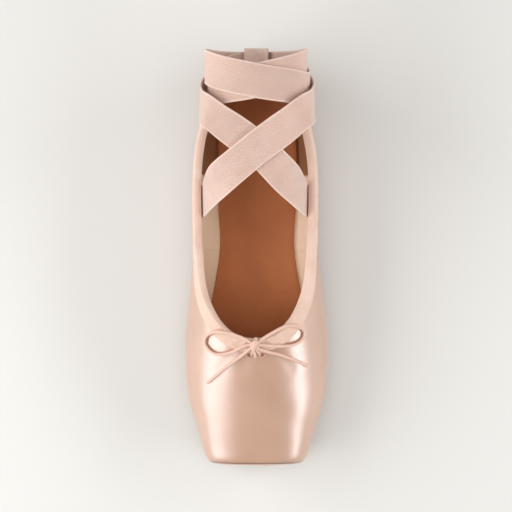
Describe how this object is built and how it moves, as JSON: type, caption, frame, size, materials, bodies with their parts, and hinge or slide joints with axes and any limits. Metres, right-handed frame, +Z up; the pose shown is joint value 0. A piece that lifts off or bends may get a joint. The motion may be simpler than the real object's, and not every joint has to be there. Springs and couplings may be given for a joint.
{
  "type": "pointe shoe",
  "caption": "Peach satin pointe shoe with a suede outsole, a drawstring bow at the throat and two wide elastics crossed round the ankle.",
  "frame": {"origin": "on the floor under the ball of the foot, on the tread's flat face and the shoe's middle plane", "axes": "+Z up, -Y towards the toe platform, +Y towards the heel, +X towards the right side of the picture"},
  "size_m": [0.085, 0.242, 0.1071],
  "materials": {
    "satin": "satin weave, soft sheen",
    "cotton": "matte cotton",
    "leather": "smooth brown leather",
    "suede": "napped split leather",
    "elastic": "ribbed elastic webbing, matte"
  },
  "bodies": {
    "root": {"upper": "satin", "binding": "cotton", "outsole": "suede", "insole": "leather", "ankle_elastic": "elastic", "crossed_elastic": "elastic", "heel_loop": "elastic", "bow_knot": "cotton", "bow_loop_left": "cotton", "bow_loop_right": "cotton", "bow_end_left": "cotton", "bow_end_right": "cotton"}
  },
  "joints": []
}
